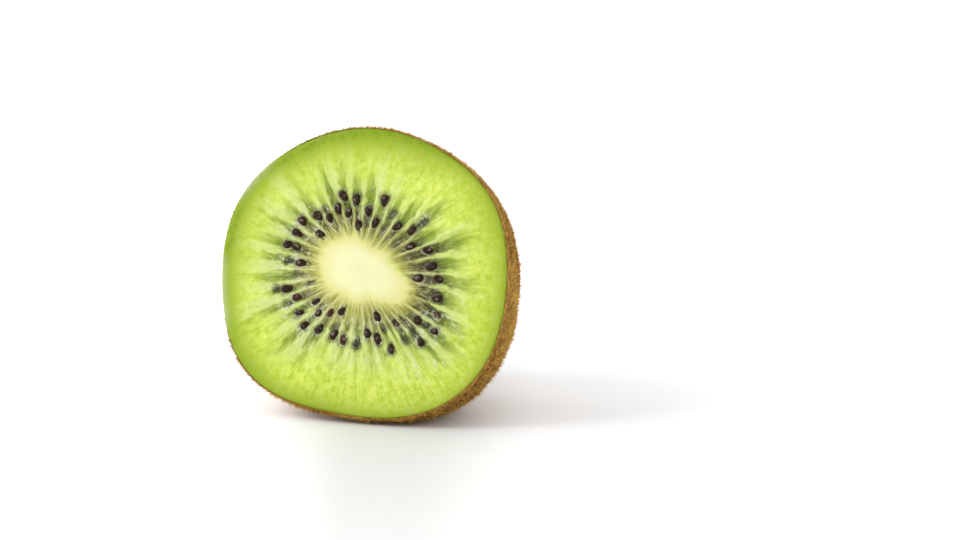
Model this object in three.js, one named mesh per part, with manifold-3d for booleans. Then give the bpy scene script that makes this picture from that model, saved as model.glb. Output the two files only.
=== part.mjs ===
// Half of a kiwi fruit, cut across at its widest, standing on its side with the cut face leaning back.
// Millimetres, +Z up. The cut face looks towards -Y, and the origin is under the middle of the fruit.
import * as THREE from "three";
import { mergeVertices } from "three/addons/utils/BufferGeometryUtils.js";
import Module from "manifold-3d";

// Driving dimensions.
const FACE_RADIUS = 26.7; // mean radius of the cut face, out to the skin
const HALF_LENGTH = 31.5; // from the cut face to the rounded end
const LEAN = 20; // degrees that the cut face leans back from upright
const REST_DEPTH = 1.3; // height of the round side that the small flat resting spot takes off
const SIDE_FULLNESS = 2.05; // 2 is an ellipsoid, more keeps the side wide further along
const END_FULLNESS = 2; // the same for how blunt the rounded end is

const RIM_WIDTH = 1.3; // the cut edge of the flesh is rounded over this width
const RIM_DROP = 0.6; // and falls back by this much where the skin begins

const CORE_RADIUS = 6.56; // mean radius of the pale core
const CORE_CENTRE = new THREE.Vector2(-0.41, 0.33); // the core lies a little off the middle of the face
const CORE_RISE = 0.3; // the core swells out of the cut face

const LOCULES = 36; // seed chambers round the core
const LOCULE_DEPTH = 0.45; // they sink into the cut face by this much
const LOCULE_START = 0.04; // shares of the way from the core to the rim
const LOCULE_END = 0.62;
const LOCULE_BLUNTNESS = 0.8; // 1 is a plain arch from end to end, less keeps the middle deep for longer

const SEED_LENGTH = 2.1;
const SEED_WIDTH = 1.3;
const SEED_THICKNESS = 1.1;
const SEED_RISE = 0.12; // a seed's middle lies this much above the floor of its chamber
const SEED_NEAREST = 0.12; // shares of the way from the core to the rim
const SEED_FARTHEST = 0.5;
const NO_SEED = 0.16; // shares of the chambers that show no seed, and just one
const ONE_SEED = 0.5;
const SEED_ALONE = 0.44; // a single seed's place between nearest and farthest
const SEED_PAIR = [0.24, 0.72]; // and the places of two
const SEED_SCATTER = 0.5; // how widely those places vary
const SEED_SIDESTEP = 0.3; // and the places across the chamber, as a share of its width
const SEED_TWIST = 0.7; // radians between the furthest turned seeds
const SEED_UNEVENNESS = 0.24; // size difference between the largest and the smallest
const SEED_CLEARANCE = 1.6; // least distance between the middles of two seeds
const SEED_DRAW = 873931; // start of the random draw that spreads the seeds

const NUB_RADIUS = 3.6; // hard little disc at the rounded end
const NUB_HEIGHT = 1.3;
const NUB_TOP = 0.55; // share of its radius that is level on top
const DIMPLE_RADIUS = 8; // shallow hollow in which it sits
const DIMPLE_DEPTH = 0.5;

// Waves round an outline: how many lobes, their height as a share of the radius, and where one points.
const FACE_LOBES = [
  { count: 2, height: 0.037, at: -25 },
  { count: 3, height: 0.012, at: -34 },
  { count: 4, height: 0.0205, at: 45 },
  { count: 5, height: 0.009, at: 18 },
  { count: 6, height: 0.0046, at: -25 },
];
const CORE_LOBES = [
  { count: 2, height: 0.28, at: -20.5 },
  { count: 3, height: 0.066, at: -13 },
  { count: 4, height: 0.061, at: -20 },
  { count: 5, height: 0.055, at: -22.6 },
  { count: 6, height: 0.04, at: -25 },
];
// The seed chambers are unevenly spaced: the same kind of wave, in radians, shifts them round the fruit.
const CHAMBER_SHIFT = [
  { count: 1, height: 0.06, at: -165 },
  { count: 2, height: 0.1, at: 84 },
  { count: 3, height: 0.02, at: 42 },
  { count: 4, height: 0.025, at: 6 },
];

// How finely the surface is divided.
const STEPS_PER_LOCULE = 3;
const CORE_RINGS = 3;
const FLESH_RINGS = 8;
const RIM_RINGS = 3;
const SKIN_RINGS = 12;
const NUB_RINGS = 4;
const NUB_MARGIN = 1.25; // these reach out past the disc by this factor
const SEED_SIDES = 6;

// The surface is named by a turn round the fruit, even from chamber to chamber, and by a station along it,
// in four zones of length 1.
const CORE = 0; // from the middle of the face to the edge of the core
const FLESH = 1; // to the shoulder of the rim
const RIM = 2; // over the rounded rim to the skin
const SKIN = 3; // round the back to the end of the fruit
const END = 4;

const { clamp, degToRad, lerp, smoothstep } = THREE.MathUtils;

const wave = (lobes, angle) =>
  lobes.reduce((sum, { count, height, at }) => sum + height * Math.cos(count * (angle - degToRad(at))), 0);

const coreRadius = (angle) => CORE_RADIUS * (1 + wave(CORE_LOBES, angle));

// The lobes of the face fade out towards the end of the fruit, where strength falls to 0.
const sideRadius = (angle, strength) => FACE_RADIUS * (1 + strength * wave(FACE_LOBES, angle));

// Depth of the seed chambers: none on the thin walls between them, full in the middle of each.
function chamberDepth(share, turn) {
  const reach = clamp((share - LOCULE_START) / (LOCULE_END - LOCULE_START), 0, 1);
  const along = Math.sin(Math.PI * reach) ** LOCULE_BLUNTNESS;
  const across = Math.sin((LOCULES * turn) / 2) ** 2;
  return LOCULE_DEPTH * along * across;
}

// A little disc in a shallow hollow at the rounded end, as a height over the smooth end.
function endRelief(radius) {
  const disc = NUB_HEIGHT * (1 - smoothstep(radius, NUB_TOP * NUB_RADIUS, NUB_RADIUS));
  const hollow = DIMPLE_DEPTH * (1 - smoothstep(radius, NUB_RADIUS, DIMPLE_RADIUS));
  return disc - hollow;
}

// A point of the surface, seen square on to the face: x right, y up, z out of the face.
function surfacePoint(station, turn) {
  const angle = turn + wave(CHAMBER_SHIFT, turn);
  const zone = Math.min(Math.floor(station), SKIN);
  const share = station - zone;
  const rim = sideRadius(angle, 1);
  const centre = new THREE.Vector2();
  let radius;
  let height;
  if (zone === CORE) {
    centre.copy(CORE_CENTRE);
    radius = share * coreRadius(angle);
    height = CORE_RISE * (1 - share ** 2);
  } else if (zone === FLESH) {
    centre.copy(CORE_CENTRE).multiplyScalar(1 - share);
    radius = lerp(coreRadius(angle), rim - RIM_WIDTH, share);
    height = -chamberDepth(share, turn);
  } else if (zone === RIM) {
    radius = rim - RIM_WIDTH * (1 - Math.sin((share * Math.PI) / 2));
    height = -RIM_DROP * (1 - Math.cos((share * Math.PI) / 2));
  } else {
    const across = Math.max(Math.cos((share * Math.PI) / 2), 0) ** (2 / END_FULLNESS);
    const along = Math.sin((share * Math.PI) / 2) ** (2 / SIDE_FULLNESS);
    radius = sideRadius(angle, across ** 2) * across;
    height = -lerp(RIM_DROP, HALF_LENGTH, along) - endRelief(radius);
  }
  return new THREE.Vector3(
    centre.x + radius * Math.cos(angle),
    centre.y + radius * Math.sin(angle),
    height,
  );
}

// Stations of the rings. Those of the skin lie closer together at the little disc on the end.
function ringStations() {
  const stations = [];
  const divide = (from, to, count) => {
    for (let i = 0; i < count; i++) stations.push(lerp(from, to, i / count));
  };
  const discStation = END - (NUB_MARGIN * NUB_RADIUS) / (FACE_RADIUS * (Math.PI / 2));
  divide(CORE, FLESH, CORE_RINGS);
  divide(FLESH, RIM, FLESH_RINGS);
  divide(RIM, SKIN, RIM_RINGS);
  divide(SKIN, discStation, SKIN_RINGS);
  divide(discStation, END, NUB_RINGS);
  stations.push(END);
  return stations;
}

// The round body: a spindle whose height is the station, with its points moved to the fruit's surface.
function bodyGeometry() {
  const profile = ringStations().map((station) => {
    const girth = Math.abs(Math.sin((Math.PI * station) / END));
    return new THREE.Vector2(station === END ? 0 : girth, station);
  });
  const geometry = new THREE.LatheGeometry(profile, LOCULES * STEPS_PER_LOCULE);
  const place = geometry.getAttribute("position");
  for (let i = 0; i < place.count; i++) {
    const turn = Math.atan2(place.getZ(i), place.getX(i));
    const point = surfacePoint(place.getY(i), turn);
    place.setXYZ(i, point.x, point.y, point.z);
  }
  return geometry;
}

// Even random numbers from 0 to 1, the same in every run.
function randomDraw(start) {
  let state = start;
  return () => {
    state = (Math.imul(state, 1664525) + 1013904223) >>> 0;
    return state / 2 ** 32;
  };
}

// Most chambers show one seed or two, and a few show none. The second lies further out than the first.
function seedPlaces() {
  const draw = randomDraw(SEED_DRAW);
  const places = [];
  for (let chamber = 0; chamber < LOCULES; chamber++) {
    const chance = draw();
    const count = chance < NO_SEED ? 0 : chance < NO_SEED + ONE_SEED ? 1 : 2;
    for (let row = 0; row < 2; row++) {
      const middle = count === 2 ? SEED_PAIR[row] : SEED_ALONE;
      const reach = clamp(middle + SEED_SCATTER * (draw() - 0.5), 0, 1);
      const turn = ((chamber + 0.5 + SEED_SIDESTEP * (draw() - 0.5)) / LOCULES) * 2 * Math.PI;
      const twist = SEED_TWIST * (draw() - 0.5);
      const size = 1 + SEED_UNEVENNESS * (draw() - 0.5);
      const point = surfacePoint(FLESH + lerp(SEED_NEAREST, SEED_FARTHEST, reach), turn);
      const crowded = places.some((other) => other.point.distanceTo(point) < SEED_CLEARANCE);
      if (row < count && !crowded) places.push({ point, twist, size });
    }
  }
  return places;
}

// A flat drop of a seed, its point more or less towards the core.
function seedGeometry({ point, twist, size }) {
  const profile = [
    new THREE.Vector2(0, -0.5),
    new THREE.Vector2(0.26, -0.3),
    new THREE.Vector2(0.48, 0.05),
    new THREE.Vector2(0.36, 0.36),
    new THREE.Vector2(0, 0.5),
  ];
  const geometry = new THREE.LatheGeometry(profile, SEED_SIDES);
  const outward = Math.atan2(point.y - CORE_CENTRE.y, point.x - CORE_CENTRE.x);
  geometry.scale(SEED_WIDTH * size, SEED_LENGTH * size, SEED_THICKNESS * size);
  geometry.rotateZ(outward + twist - Math.PI / 2);
  geometry.translate(point.x, point.y, point.z + SEED_RISE);
  return geometry;
}

// Under the fruit everything below the resting height is cut away.
function groundGeometry(restHeight) {
  const side = 4 * HALF_LENGTH;
  return new THREE.BoxGeometry(side, side, side).translate(0, 0, restHeight - side / 2);
}

const wasm = await Module();
wasm.setup();

function solidOf(geometry) {
  const bare = new THREE.BufferGeometry();
  bare.setAttribute("position", geometry.getAttribute("position"));
  bare.setIndex(geometry.getIndex());
  const merged = mergeVertices(bare, 1e-4);
  return new wasm.Manifold(
    new wasm.Mesh({
      numProp: 3,
      vertProperties: merged.getAttribute("position").array,
      triVerts: new Uint32Array(merged.getIndex().array),
    }),
  );
}

function geometryOf(solid) {
  const mesh = solid.getMesh();
  const geometry = new THREE.BufferGeometry();
  geometry.setAttribute("position", new THREE.BufferAttribute(mesh.vertProperties, mesh.numProp));
  geometry.setIndex(new THREE.BufferAttribute(mesh.triVerts, 1));
  return geometry;
}

// Flesh, core and skin are one piece, and the seeds are fused to it where they show.
function kiwiHalfGeometry() {
  let fruit = solidOf(bodyGeometry());
  for (const place of seedPlaces()) fruit = fruit.add(solidOf(seedGeometry(place)));
  const upright = geometryOf(fruit);
  upright.rotateX(Math.PI / 2 - degToRad(LEAN));
  upright.computeBoundingBox();
  const restHeight = upright.boundingBox.min.z + REST_DEPTH;
  const geometry = geometryOf(solidOf(upright).subtract(solidOf(groundGeometry(restHeight))));
  geometry.computeBoundingBox();
  const { min, max } = geometry.boundingBox;
  geometry.translate(-(min.x + max.x) / 2, -(min.y + max.y) / 2, -min.z);
  geometry.computeVertexNormals();
  return geometry;
}

const flesh = new THREE.MeshStandardMaterial({
  name: "kiwi_flesh",
  color: 0xb4cf50,
  roughness: 0.35,
  metalness: 0,
});

const kiwiHalf = new THREE.Mesh(kiwiHalfGeometry(), flesh);
kiwiHalf.name = "kiwi_half";

const group = new THREE.Group();
group.add(kiwiHalf);

export default group;
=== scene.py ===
"""Half of a kiwi fruit: cut face, skin, seeds and hairs, built as an add-on that also runs as a script."""
import math

import bpy
import numpy as np
from bpy.props import FloatProperty, FloatVectorProperty, IntProperty, PointerProperty
from bpy.types import Operator, Panel, PropertyGroup
from mathutils import Euler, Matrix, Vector


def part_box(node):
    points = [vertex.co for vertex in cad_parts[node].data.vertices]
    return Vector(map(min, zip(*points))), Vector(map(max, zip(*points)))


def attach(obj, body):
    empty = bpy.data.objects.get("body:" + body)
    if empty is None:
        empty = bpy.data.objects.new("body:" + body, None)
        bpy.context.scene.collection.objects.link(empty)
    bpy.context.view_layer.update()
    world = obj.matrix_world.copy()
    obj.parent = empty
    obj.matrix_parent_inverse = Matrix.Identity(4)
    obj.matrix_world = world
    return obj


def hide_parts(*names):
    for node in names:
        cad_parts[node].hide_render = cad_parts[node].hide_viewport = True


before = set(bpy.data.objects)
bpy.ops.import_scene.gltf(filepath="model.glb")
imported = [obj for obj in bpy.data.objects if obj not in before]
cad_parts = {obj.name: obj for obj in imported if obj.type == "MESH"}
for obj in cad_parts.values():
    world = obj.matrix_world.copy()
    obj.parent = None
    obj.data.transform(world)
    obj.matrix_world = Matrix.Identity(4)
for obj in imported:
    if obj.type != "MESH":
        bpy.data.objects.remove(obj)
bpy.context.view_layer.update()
HALF_LOW, HALF_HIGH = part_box("kiwi_half")

bl_info = {
    "name": "Kiwi fruit half",
    "version": (1, 0, 0),
    "blender": (4, 5, 0),
    "location": "3D View > Sidebar > Kiwi",
    "description": "Half of a kiwi fruit with moist flesh, seeds and fuzzy skin",
    "category": "Add Mesh",
}

MM = 0.001

# The form of the fruit, in millimetres and degrees.
# Lobes are (count, height as a share, direction in degrees).
FACE_RADIUS = 26.7
HALF_LENGTH = 31.5
LEAN = 20
REST_DEPTH = 1.3
SIDE_FULLNESS = 2.05
END_FULLNESS = 2
RIM_WIDTH = 1.3
RIM_DROP = 0.6
CORE_RADIUS = 6.56
CORE_CENTRE = (-0.41, 0.33)
CORE_RISE = 0.3
FACE_LOBES = ((2, 0.037, -25), (3, 0.012, -34), (4, 0.0205, 45), (5, 0.009, 18), (6, 0.0046, -25))
CORE_LOBES = ((2, 0.28, -20.5), (3, 0.066, -13), (4, 0.061, -20), (5, 0.055, -22.6), (6, 0.04, -25))
CHAMBER_SHIFT = ((1, 0.06, -165), (2, 0.1, 84), (3, 0.02, 42), (4, 0.025, 6))
CHAMBERS = 36
CHAMBER_DEPTH = 0.45
CHAMBER_START = 0.04
CHAMBER_END = 0.62
CHAMBER_BLUNTNESS = 0.8
NUB_RADIUS = 3.6
NUB_HEIGHT = 1.3
NUB_TOP = 0.55
DIMPLE_RADIUS = 8
DIMPLE_DEPTH = 0.5

# How the seeds are spread: shares of the way from the core to the rim, and of a chamber's width.
SEED_NEAREST = 0.12
SEED_FARTHEST = 0.5
NO_SEED = 0.16
ONE_SEED = 0.5
SEED_ALONE = 0.44
SEED_PAIR = (0.24, 0.72)
SEED_SCATTER = 0.5
SEED_SIDESTEP = 0.3
SEED_TWIST = 0.7
SEED_UNEVENNESS = 0.24
SEED_CLEARANCE = 1.6
SEED_DRAW = 873931
SUNK_SEED_DRAW = 126322

# How a seed sits in its chamber: angles in radians, and its rise as shares of the seed rise.
SEED_TIP = 1.0
SEED_ROLL = 0.8
SEED_LOWEST = -1.6
SEED_HIGHEST = 1.0
SEED_BED = -0.12  # the highest that a seed's bed may lie, in millimetres
RED_DRAW = 0.93  # draws over this make a seed reddish
SEED_GRAIN = 0.6
SEED_GRAIN_DEPTH = 0.1

# Stations along the surface: the core, the flesh, the rounded rim and the skin, each of length 1.
CORE, FLESH, RIM, SKIN, END = range(5)
SKIN_GAP = 0.02  # between the flesh and the inside of the skin
FLESH_BACK_DEPTH = 1.5  # how much deeper the hidden back of the flesh lies
RIM_WEAR = 0.16
SKIN_COLUMNS = 288
OUTER_RINGS = 115
INNER_RINGS = 13
SKIN_DENTS = 0.22
NUB_RELIEF = 0.4
BACK_GOLD = 0.34  # how golden the skin is at the back

# The cut edge of the skin: shares of its thickness inwards, height and share of hairs.
LIP_PROFILE = (
    (1.0, -0.7, 0), (0.97, -0.62, 0), (0.75, -0.57, 0),
    (0.35, -0.57, 0), (0.08, -0.61, 0.4), (0.0, -0.7, 1.0),
)

# Directions on the cut face, in degrees.
BARE_SIDE = 165  # the skin ends further back and has shorter hairs at the cut
WORN_SIDE = 135  # the rim of the flesh is a little worn
FULL_SIDE = 0  # the chambers are wider and darker
FAINT_SIDE = -85  # the chambers are narrower and paler
# The painted sheen on the left of the rim, in two stretches, and a darker stretch of its edge between them:
# where each starts, is full, starts to fade and ends.
SHEEN_PARTS = ((132, 142, 148, 158), (172, 182, 198, 208))
DUSK_PART = (148, 158, 170, 180)

HAIR_BEND = 0.00016  # metres by which the tip of a hair hangs over
LOWEST_HAIR = 0.02
FLOOR_DEPTH = 0.00002  # metres of the floor under the fruit, so that the two don't meet

# The view: the middle of the cut face is seen at this pixel of a picture of this size.
PICTURE = (960, 540)
FACE_PIXEL = (362.3, 273.8)
PIXELS_PER_MM = 5.72


def srgb(red, green, blue):
    """A screen colour, 0 to 255, as the linear colour that Blender's sockets hold."""
    def linear(value):
        value /= 255
        return value / 12.92 if value <= 0.04045 else ((value + 0.055) / 1.055) ** 2.4
    return (linear(red), linear(green), linear(blue))


def colour(name, description, *rgb):
    return FloatVectorProperty(
        name=name, description=description, subtype="COLOR", size=3, min=0, max=1, default=srgb(*rgb)
    )


def length(name, description, millimetres):
    return FloatProperty(
        name=name, description=description, subtype="DISTANCE", unit="LENGTH",
        default=millimetres * MM, min=0, precision=5,
    )


def amount(name, description, value):
    return FloatProperty(name=name, description=description, default=value)


def bearing(name, description, degrees):
    return FloatProperty(name=name, description=description, subtype="ANGLE", default=math.radians(degrees))


class KiwiSizes(PropertyGroup):
    """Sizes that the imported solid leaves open."""
    skin_thickness: length("Skin thickness", "Thickness of the skin at its cut edge", 0.15)
    seed_length: length("Seed length", "Mean length of a seed", 2.05)
    seed_width: length("Seed width", "Mean width of a seed", 1.3)
    seed_thickness: length("Seed thickness", "Mean thickness of a seed", 1.1)
    seed_rise: length("Seed rise", "Height of a seed's middle over the floor of its chamber", 0.16)
    hair_length: length("Hair length", "Length of the longest hairs that stand up", 1.35)
    flat_length: length("Flat hair length", "Length of the longest hairs that lie on the skin", 1.9)
    fuzz_length: length("Fuzz length", "Length of the short hairs", 0.5)
    hair_width: length("Hair width", "Thickness of a hair at its root", 0.13)
    hairs_per_cm2: amount("Hairs per square centimetre", "Hairs that stand up", 110)
    flat_per_cm2: amount("Flat hairs per square centimetre", "Hairs that lie on the skin", 330)
    fuzz_per_cm2: amount("Fuzz per square centimetre", "Short hairs", 560)
    face_rings: IntProperty(
        name="Face rings", description="Rings of the cut face's mesh", default=140, min=20,
    )


class KiwiColours(PropertyGroup):
    """Colours of the fruit."""
    core: colour("Core", "Middle of the core", 245, 243, 190)
    core_edge: colour("Core edge", "Outer part of the core", 229, 226, 147)
    thread: colour("Threads", "Fine threads from the core to the seeds", 226, 224, 150)
    olive: colour("Inner ring", "Flesh between the core and the seeds", 146, 138, 52)
    jelly: colour("Jelly", "Dark jelly round the seeds", 68, 62, 18)
    tail: colour("Chamber ends", "Green ends of the seed chambers", 116, 142, 36)
    pale: colour("Pale rays", "Flesh between the chambers", 220, 233, 152)
    wall: colour("Walls", "Pale lines in the middle of the rays", 220, 230, 160)
    flesh: colour("Flesh", "Outer flesh", 212, 230, 86)
    flesh_pale: colour("Pale flesh", "Lighter grain of the outer flesh", 230, 245, 124)
    flesh_deep: colour("Deep flesh", "Darker grain of the outer flesh", 184, 208, 56)
    rim: colour("Rim", "Flesh next to the skin", 130, 158, 8)
    # A painted sheen: a pale reflection painted along the left edge of the flesh.
    painted_sheen: colour("Sheen", "Pale edge of the flesh at the left", 206, 210, 186)
    # Painted highlights: the pale crescents at the lower side of the seeds, and the colour of the painted
    # glints and sheen on the jelly and rays.
    painted_highlight: colour("Seed highlights", "Clear jelly round a seed", 230, 236, 200)
    jelly_dark: colour("Dark jelly", "Darkest lines of the jelly", 42, 34, 4)
    sunk: colour("Sunk seeds", "Seeds that lie below the cut", 58, 56, 34)
    seed: colour("Seeds", "Seeds", 44, 25, 10)
    # A painted highlight on the middle of the seeds.
    seed_highlight: colour("Seed film", "Thin film on the middle of a seed", 152, 138, 130)
    seed_red: colour("Young seeds", "The few reddish seeds", 86, 42, 34)
    golden: colour("Golden skin", "Skin at its cut edge, and some of the skin at the back", 192, 152, 72)
    skin: colour("Skin", "Skin under the hairs", 142, 98, 40)
    skin_dark: colour("Dark skin", "Darker patches of the skin", 98, 64, 26)
    hair: colour("Hairs", "Hairs", 240, 190, 88)
    hair_dark: colour("Dark hairs", "Darker hairs", 92, 58, 20)
    # Painted light: pale tips for light shining through the hairs.
    tip_glow: colour("Hair tips", "Tips of the hairs", 236, 194, 104)
    nub: colour("Nub", "Hard disc at the end", 112, 80, 46)


class KiwiView(PropertyGroup):
    """Where the fruit is seen from, and the light on it."""
    azimuth: bearing("Azimuth", "Direction of the camera", 19)
    elevation: bearing("Elevation", "Height of the camera", 10)
    distance: length("Distance", "From the middle of the cut face to the camera", 850)
    sky: amount("Sky", "Strength of the light from all round", 0.66)
    key: amount("Key light", "Power of the key light, in watts", 2.04)
    edge: amount("Edge light", "Power of the light from the left, in watts", 0.8)
    side: amount("Side light", "Power of the light from the right, in watts", 0.3)
    floor: colour("Floor", "Floor", 246, 246, 246)


# ---- The form of the fruit, in millimetres, seen square on to the cut face: x right, y up, z out of it. ----


def wave(lobes, angle):
    return sum(height * np.cos(count * (angle - math.radians(at))) for count, height, at in lobes)


def smoothstep(value, low, high):
    share = np.clip((value - low) / (high - low), 0, 1)
    return share * share * (3 - 2 * share)


def window(value, start, full, fade, end):
    """1 between full and fade, falling smoothly to 0 at start and at end."""
    return smoothstep(value, start, full) * (1 - smoothstep(value, fade, end))


def soft_edge(value, edge, width):
    """1 up to an edge, falling off softly past it."""
    return np.exp(-(np.maximum(value - edge, 0) / width) ** 2)


def facing(turn, degrees, least=0.2, most=0.95):
    """1 on the side of the face in a direction, falling to 0 where the cosine to it is below least."""
    return smoothstep(np.cos(turn - math.radians(degrees)), least, most)


def core_radius(angle):
    return CORE_RADIUS * (1 + wave(CORE_LOBES, angle))


def side_radius(angle, strength=1):
    """Radius of the fruit. Its lobes fade out towards the end, where strength falls to 0."""
    return FACE_RADIUS * (1 + strength * wave(FACE_LOBES, angle))


def end_relief(radius):
    """The hard disc in its shallow hollow at the rounded end."""
    disc = NUB_HEIGHT * (1 - smoothstep(radius, NUB_TOP * NUB_RADIUS, NUB_RADIUS))
    hollow = DIMPLE_DEPTH * (1 - smoothstep(radius, NUB_RADIUS, DIMPLE_RADIUS))
    return disc - hollow


def surface(station, turn, inset=0.0):
    """Points of the fruit without its fine relief, at a depth of inset under the outside of the skin."""
    station, turn = np.broadcast_arrays(np.asarray(station, float), np.asarray(turn, float))
    angle = turn + wave(CHAMBER_SHIFT, turn)
    zone = np.minimum(np.floor(station), SKIN)
    share = station - zone
    rim = side_radius(angle) - inset
    quarter = share * math.pi / 2
    across = np.maximum(np.cos(quarter), 0) ** (2 / END_FULLNESS)
    along = np.sin(quarter) ** (2 / SIDE_FULLNESS)
    zones = [zone == CORE, zone == FLESH, zone == RIM, zone == SKIN]
    shoulder = rim - RIM_WIDTH
    side = np.maximum(side_radius(angle, across ** 2) - inset, 0) * across
    radius = np.select(zones, [
        share * core_radius(angle),
        core_radius(angle) + (shoulder - core_radius(angle)) * share,
        shoulder + RIM_WIDTH * np.sin(quarter),
        side,
    ])
    height = np.select(zones, [
        CORE_RISE * (1 - share ** 2),
        0 * share,
        -RIM_DROP * (1 - np.cos(quarter)),
        -(RIM_DROP + (HALF_LENGTH - inset - RIM_DROP) * along) - end_relief(side),
    ])
    centred = np.select(zones, [1 + 0 * share, 1 - share, 0 * share, 0 * share])
    return np.stack([
        centred * CORE_CENTRE[0] + radius * np.cos(angle),
        centred * CORE_CENTRE[1] + radius * np.sin(angle),
        height,
    ], axis=-1)


def lattice(x, y, z, draw):
    """An even random number from 0 to 1 for each point of a grid of whole numbers."""
    mixed = (x * 73856093) ^ (y * 19349663) ^ (z * 83492791) ^ (draw * 40503)
    mixed = (mixed ^ (mixed >> 13)) & 0xFFFFFFFF
    mixed = (mixed * 1274126177) & 0xFFFFFFFF
    mixed = mixed ^ (mixed >> 16)
    return (mixed & 0xFFFFFF) / 0xFFFFFF


def noise(x, y, z, draw):
    """Smooth noise from 0 to 1 with features about 1 unit across."""
    x, y, z = np.broadcast_arrays(x, y, z)
    cell = [np.floor(v).astype(np.int64) for v in (x, y, z)]
    share = [smoothstep(v - c, 0, 1) for v, c in zip((x, y, z), cell)]
    total = 0
    for corner in range(8):
        step = [(corner >> axis) & 1 for axis in range(3)]
        weight = 1
        for axis in range(3):
            weight = weight * (share[axis] if step[axis] else 1 - share[axis])
        total = total + weight * lattice(*(c + s for c, s in zip(cell, step)), draw)
    return total


def round_noise(turn, along, around_scale, along_scale, draw):
    """Noise on a ring, the same after a full turn, drawn out along the rays."""
    x, y = around_scale * np.cos(turn) + 31.7, around_scale * np.sin(turn) + 17.3
    return noise(x, y, along * along_scale, draw)


def ring_noise(turn, scale, draw):
    """Noise on a ring, the same all along a ray."""
    return round_noise(turn, 0 * turn, scale, 0, draw)


def point_noise(points, size, draw):
    """Noise at points, with features of a size in the points' own unit."""
    return noise(*(points / size).T.astype(float), draw)


def draws(start):
    """The same even random numbers from 0 to 1 in every run."""
    state = start
    while True:
        state = (state * 1664525 + 1013904223) & 0xFFFFFFFF
        yield state / 2 ** 32


def seed_places(start):
    """One seed or two in most chambers: a list of (station, turn, twist, size)."""
    draw = draws(start)
    places, points = [], []
    for chamber in range(CHAMBERS):
        chance = next(draw)
        count = 0 if chance < NO_SEED else 1 if chance < NO_SEED + ONE_SEED else 2
        for row in range(2):
            middle = SEED_PAIR[row] if count == 2 else SEED_ALONE
            reach = min(max(middle + SEED_SCATTER * (next(draw) - 0.5), 0), 1)
            turn = (chamber + 0.5 + SEED_SIDESTEP * (next(draw) - 0.5)) / CHAMBERS * 2 * math.pi
            twist = SEED_TWIST * (next(draw) - 0.5)
            size = 1 + SEED_UNEVENNESS * (next(draw) - 0.5)
            station = FLESH + SEED_NEAREST + (SEED_FARTHEST - SEED_NEAREST) * reach
            point = surface(station, turn)
            crowded = any(np.linalg.norm(point - other) < SEED_CLEARANCE for other in points)
            if row < count and not crowded:
                places.append((station, turn, twist, size))
                points.append(point)
    return places


def chamber_walls(turn, share):
    """The number of the chamber that a point is in, and how far it is to the walls on both sides."""
    place = CHAMBERS * turn / (2 * math.pi)

    def wall_place(number):
        which = np.mod(number, CHAMBERS).astype(np.int64)
        offset = 0.2 * (lattice(which, 0 * which, 0 * which, 5) - 0.5)
        bend = 0.24 * (noise(which * 7.0, 3.0 * share, 0 * share, 6) - 0.5)
        return number + offset + bend * smoothstep(share, 0.1, 0.5)

    lower = np.floor(place)
    lower = np.where(place < wall_place(lower), lower - 1, lower)
    lower = np.where(place >= wall_place(lower + 1), lower + 1, lower)
    return lower, place - wall_place(lower), wall_place(lower + 1) - place


def per_chamber(number, low, high, draw):
    """A value that differs from chamber to chamber, or from wall to wall."""
    which = np.mod(number, CHAMBERS).astype(np.int64)
    return low + (high - low) * lattice(which, 0 * which, 0 * which, draw)


def seed_reach(points, place, sizes):
    """Distance of points from a seed's middle, 1 at its edge, and the direction from its middle."""
    station, turn, twist, size = place
    middle = surface(station, turn)
    outward = math.atan2(middle[1] - CORE_CENTRE[1], middle[0] - CORE_CENTRE[0]) + twist
    dx, dy = points[..., 0] - middle[0], points[..., 1] - middle[1]
    along = (dx * math.cos(outward) + dy * math.sin(outward)) / (sizes.seed_length / MM * size / 2)
    across = (-dx * math.sin(outward) + dy * math.cos(outward)) / (sizes.seed_width / MM * size / 2)
    pointed = across * (1 + 0.35 * np.clip(-along, -1, 1))
    return np.hypot(along, pointed), np.arctan2(dy, dx)


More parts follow.
